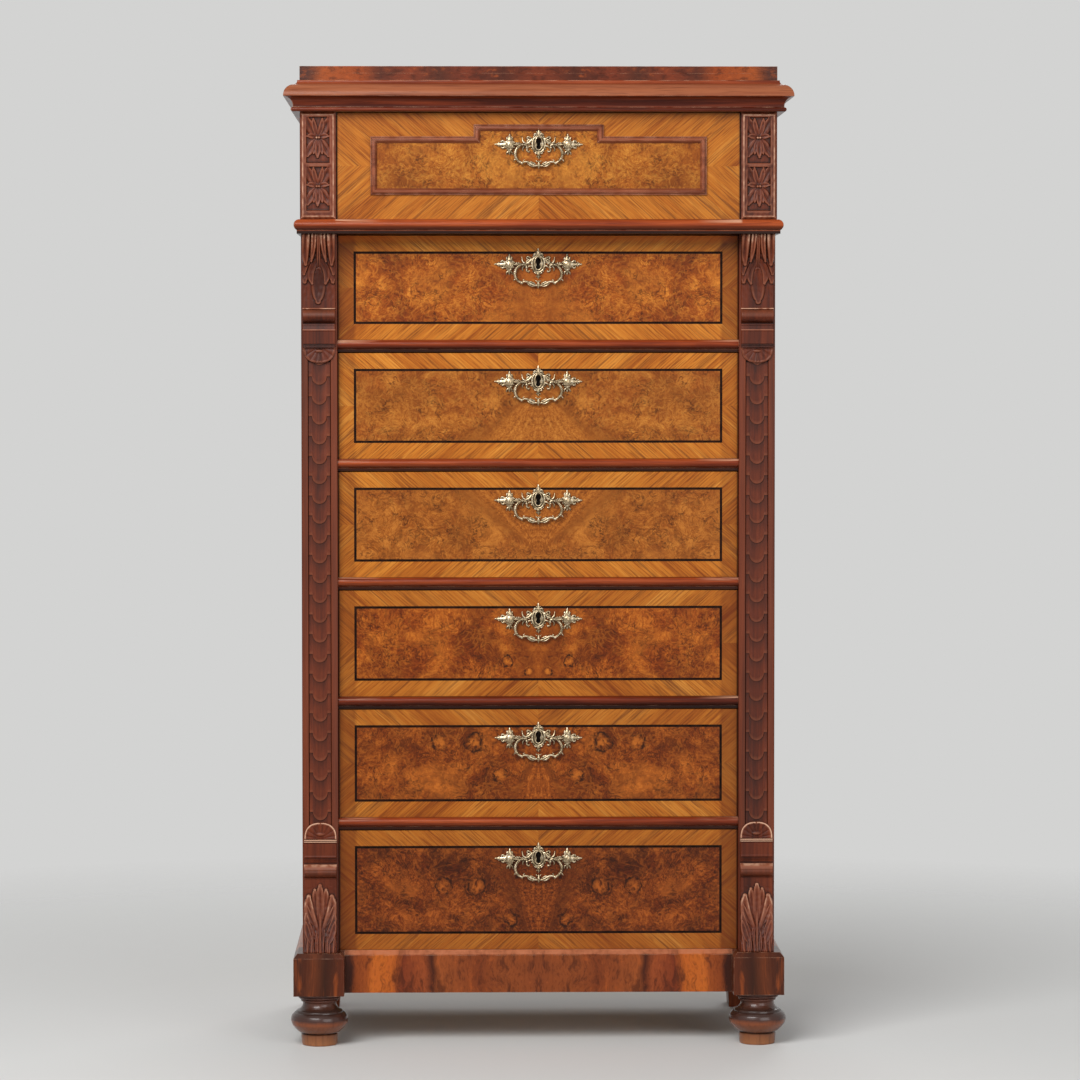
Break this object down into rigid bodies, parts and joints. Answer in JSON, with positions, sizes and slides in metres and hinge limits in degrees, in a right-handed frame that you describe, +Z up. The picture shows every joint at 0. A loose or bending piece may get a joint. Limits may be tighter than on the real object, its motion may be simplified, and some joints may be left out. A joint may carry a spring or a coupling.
{
  "type": "semainier",
  "caption": "Tall narrow chest of stacked drawers between carved pilasters, with a moulded cornice, shaped plinth, turned front feet, drop handles and drawer locks.",
  "frame": {"origin": "on the floor, under the centre of the piece's overall box", "axes": "+Z up, +X to the right of someone facing the drawers, drawers open towards -Y, back at +Y"},
  "size_m": [0.723, 0.45, 1.4],
  "materials": {
    "polished_walnut": "shellac polish, reddish walnut",
    "carved_walnut": "dark stained and polished carving",
    "burl_veneer": "shellac polish over burl veneer",
    "pine": "bare, aged",
    "handle_brass": "cast, aged, worn on the high points",
    "lock_steel": "filed iron, dulled"
  },
  "bodies": {
    "root": {"attic_box": "polished_walnut", "back_panel": "pine", "bottom_board": "pine", "cornice_moulding": "polished_walnut", "drawer_rails": "polished_walnut", "drawer_runners": "pine", "feet": "carved_walnut", "frieze_blocks": "carved_walnut", "lower_consoles": "carved_walnut", "pilaster_left": "carved_walnut", "pilaster_right": "carved_walnut", "plinth_blocks": "polished_walnut", "plinth_rails": "polished_walnut", "side_panel_left": "polished_walnut", "side_panel_right": "polished_walnut", "top_board": "pine", "upper_consoles": "carved_walnut", "waist_moulding": "polished_walnut"},
    "drawer_1": {"drawer_1_front": "burl_veneer", "drawer_1_box": "pine", "drawer_1_lock": "lock_steel", "drawer_1_handle_plate": "handle_brass"},
    "bail_1": {"drawer_1_bail": "handle_brass"},
    "bolt_1": {"drawer_1_lock_bolt": "lock_steel"},
    "drawer_2": {"drawer_2_front": "burl_veneer", "drawer_2_box": "pine", "drawer_2_lock": "lock_steel", "drawer_2_handle_plate": "handle_brass"},
    "bail_2": {"drawer_2_bail": "handle_brass"},
    "bolt_2": {"drawer_2_lock_bolt": "lock_steel"},
    "drawer_3": {"drawer_3_front": "burl_veneer", "drawer_3_box": "pine", "drawer_3_lock": "lock_steel", "drawer_3_handle_plate": "handle_brass"},
    "bail_3": {"drawer_3_bail": "handle_brass"},
    "bolt_3": {"drawer_3_lock_bolt": "lock_steel"},
    "drawer_4": {"drawer_4_front": "burl_veneer", "drawer_4_box": "pine", "drawer_4_lock": "lock_steel", "drawer_4_handle_plate": "handle_brass"},
    "bail_4": {"drawer_4_bail": "handle_brass"},
    "bolt_4": {"drawer_4_lock_bolt": "lock_steel"},
    "drawer_5": {"drawer_5_front": "burl_veneer", "drawer_5_box": "pine", "drawer_5_lock": "lock_steel", "drawer_5_handle_plate": "handle_brass"},
    "bail_5": {"drawer_5_bail": "handle_brass"},
    "bolt_5": {"drawer_5_lock_bolt": "lock_steel"},
    "drawer_6": {"drawer_6_front": "burl_veneer", "drawer_6_box": "pine", "drawer_6_lock": "lock_steel", "drawer_6_handle_plate": "handle_brass"},
    "bail_6": {"drawer_6_bail": "handle_brass"},
    "bolt_6": {"drawer_6_lock_bolt": "lock_steel"},
    "drawer_7": {"drawer_7_front": "burl_veneer", "drawer_7_box": "pine", "drawer_7_lock": "lock_steel", "drawer_7_handle_plate": "handle_brass"},
    "bail_7": {"drawer_7_bail": "handle_brass"},
    "bolt_7": {"drawer_7_lock_bolt": "lock_steel"}
  },
  "joints": [
    {"name": "drawer_1_slide", "type": "slide", "parent": "root", "child": "drawer_1", "axis": [0, -1, 0], "range_m": [0, 0.3]},
    {"name": "bail_1_swing", "type": "hinge", "parent": "drawer_1", "child": "bail_1", "pos_m": [0, -0.203, 1.289], "axis": [-1, 0, 0], "range_deg": [0, 95]},
    {"name": "bolt_1_throw", "type": "slide", "parent": "drawer_1", "child": "bolt_1", "axis": [0, 0, 1], "range_m": [0, 0.008]},
    {"name": "drawer_2_slide", "type": "slide", "parent": "root", "child": "drawer_2", "axis": [0, -1, 0], "range_m": [0, 0.3]},
    {"name": "bail_2_swing", "type": "hinge", "parent": "drawer_2", "child": "bail_2", "pos_m": [0, -0.163, 1.12], "axis": [-1, 0, 0], "range_deg": [0, 95]},
    {"name": "bolt_2_throw", "type": "slide", "parent": "drawer_2", "child": "bolt_2", "axis": [0, 0, 1], "range_m": [0, 0.008]},
    {"name": "drawer_3_slide", "type": "slide", "parent": "root", "child": "drawer_3", "axis": [0, -1, 0], "range_m": [0, 0.3]},
    {"name": "bail_3_swing", "type": "hinge", "parent": "drawer_3", "child": "bail_3", "pos_m": [0, -0.163, 0.9522], "axis": [-1, 0, 0], "range_deg": [0, 95]},
    {"name": "bolt_3_throw", "type": "slide", "parent": "drawer_3", "child": "bolt_3", "axis": [0, 0, 1], "range_m": [0, 0.008]},
    {"name": "drawer_4_slide", "type": "slide", "parent": "root", "child": "drawer_4", "axis": [0, -1, 0], "range_m": [0, 0.3]},
    {"name": "bail_4_swing", "type": "hinge", "parent": "drawer_4", "child": "bail_4", "pos_m": [0, -0.163, 0.7819], "axis": [-1, 0, 0], "range_deg": [0, 95]},
    {"name": "bolt_4_throw", "type": "slide", "parent": "drawer_4", "child": "bolt_4", "axis": [0, 0, 1], "range_m": [0, 0.008]},
    {"name": "drawer_5_slide", "type": "slide", "parent": "root", "child": "drawer_5", "axis": [0, -1, 0], "range_m": [0, 0.3]},
    {"name": "bail_5_swing", "type": "hinge", "parent": "drawer_5", "child": "bail_5", "pos_m": [0, -0.163, 0.6116], "axis": [-1, 0, 0], "range_deg": [0, 95]},
    {"name": "bolt_5_throw", "type": "slide", "parent": "drawer_5", "child": "bolt_5", "axis": [0, 0, 1], "range_m": [0, 0.008]},
    {"name": "drawer_6_slide", "type": "slide", "parent": "root", "child": "drawer_6", "axis": [0, -1, 0], "range_m": [0, 0.3]},
    {"name": "bail_6_swing", "type": "hinge", "parent": "drawer_6", "child": "bail_6", "pos_m": [0, -0.163, 0.4403], "axis": [-1, 0, 0], "range_deg": [0, 95]},
    {"name": "bolt_6_throw", "type": "slide", "parent": "drawer_6", "child": "bolt_6", "axis": [0, 0, 1], "range_m": [0, 0.008]},
    {"name": "drawer_7_slide", "type": "slide", "parent": "root", "child": "drawer_7", "axis": [0, -1, 0], "range_m": [0, 0.3]},
    {"name": "bail_7_swing", "type": "hinge", "parent": "drawer_7", "child": "bail_7", "pos_m": [0, -0.163, 0.266], "axis": [-1, 0, 0], "range_deg": [0, 95]},
    {"name": "bolt_7_throw", "type": "slide", "parent": "drawer_7", "child": "bolt_7", "axis": [0, 0, 1], "range_m": [0, 0.008]}
  ]
}
